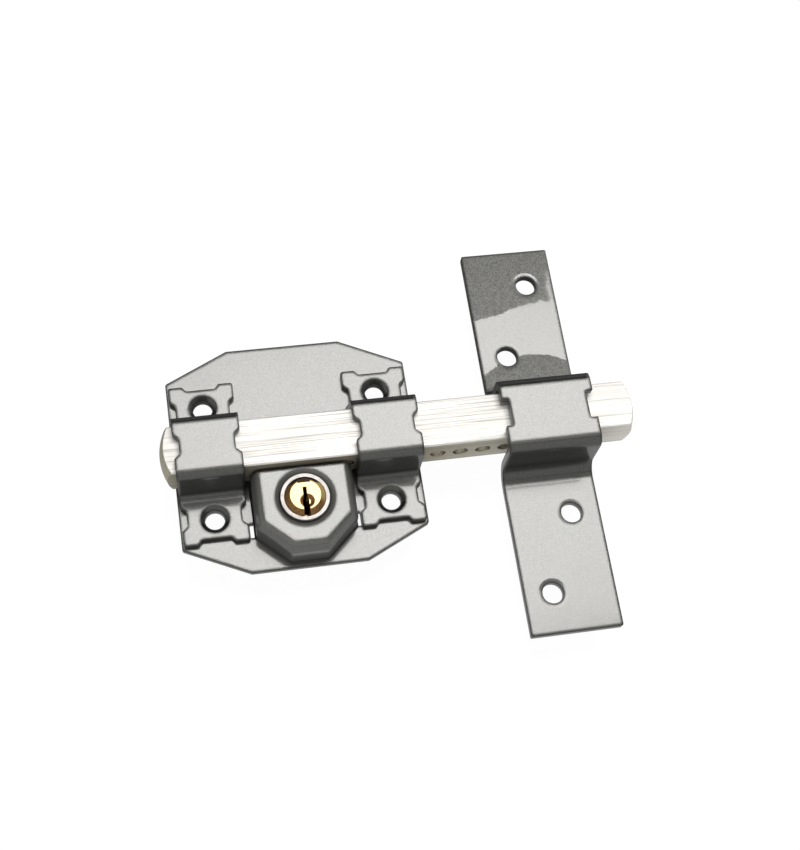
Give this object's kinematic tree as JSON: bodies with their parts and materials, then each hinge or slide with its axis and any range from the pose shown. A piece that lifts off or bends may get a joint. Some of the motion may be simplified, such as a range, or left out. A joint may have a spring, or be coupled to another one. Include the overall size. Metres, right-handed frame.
{
  "type": "key-operated sliding door bolt",
  "caption": "Surface-mounted sliding door bolt: a domed bar runs in two bent guide straps on an eight-sided plate, driven by a key plug, into a bridged keeper.",
  "frame": {"origin": "Middle of the four door screw holes, on the back face of the base plate, which lies on the door.", "axes": "+X along the bolt towards the keeper, +Y up the door, +Z out of the door towards the person with the key."},
  "size_m": [0.156, 0.138, 0.0366],
  "materials": {
    "plate_paint": "fine metallic silver-grey stove enamel over pressed steel sheet",
    "strap_paint": "fine metallic silver-grey stove enamel over bent steel sheet",
    "cover_paint": "fine metallic silver-grey stove enamel over a pressed cover",
    "keeper_paint": "fine metallic silver-grey stove enamel over bent steel sheet",
    "bolt_nickel": "nickel-plated steel, brushed lengthwise",
    "ring_nickel": "turned brass with a satin nickel plate",
    "plug_brass": "turned and polished brass",
    "body_brass": "turned and milled brass",
    "pin_brass": "turned brass",
    "pin_steel": "turned steel",
    "wheel_steel": "case-hardened, greased steel",
    "spring_steel": "bright spring wire",
    "screw_zinc": "zinc-plated steel"
  },
  "bodies": {
    "lock_body": {"base_plate": "plate_paint", "left_guide_strap": "strap_paint", "right_guide_strap": "strap_paint", "cylinder_cover": "cover_paint", "front_ring": "ring_nickel", "cylinder_body": "body_brass", "cylinder_screws": "screw_zinc", "driver_pin_1": "pin_steel", "driver_pin_2": "pin_steel", "driver_pin_3": "pin_steel", "driver_pin_4": "pin_steel", "driver_pin_5": "pin_steel", "pin_spring_1": "spring_steel", "pin_spring_2": "spring_steel", "pin_spring_3": "spring_steel", "pin_spring_4": "spring_steel", "pin_spring_5": "spring_steel", "chamber_plug_1": "pin_brass", "chamber_plug_2": "pin_brass", "chamber_plug_3": "pin_brass", "chamber_plug_4": "pin_brass", "chamber_plug_5": "pin_brass"},
    "bolt": {"bolt_bar": "bolt_nickel"},
    "key_plug": {"plug": "plug_brass", "peg_wheel": "wheel_steel", "wheel_pin": "pin_steel", "plug_clip": "spring_steel", "key_pin_1": "pin_brass", "key_pin_2": "pin_brass", "key_pin_3": "pin_brass", "key_pin_4": "pin_brass", "key_pin_5": "pin_brass"},
    "keeper": {"keeper_strap": "keeper_paint"}
  },
  "joints": [
    {"name": "bolt_slide", "type": "slide", "parent": "lock_body", "child": "bolt", "axis": [-1, 0, 0], "range_m": [0, 0.0674]},
    {"name": "plug_turn", "type": "hinge", "parent": "lock_body", "child": "key_plug", "pos_m": [0, -0.019, 0.01], "axis": [0, 0, 1], "range_deg": [0, 360]},
    {"name": "keeper_apart", "type": "slide", "parent": "lock_body", "child": "keeper", "axis": [1, 0, 0], "range_m": [0, 0.05]}
  ],
  "couplings": [
    {"joint": "plug_turn", "follows": "bolt_slide", "rad_per_m": 93.084}
  ]
}
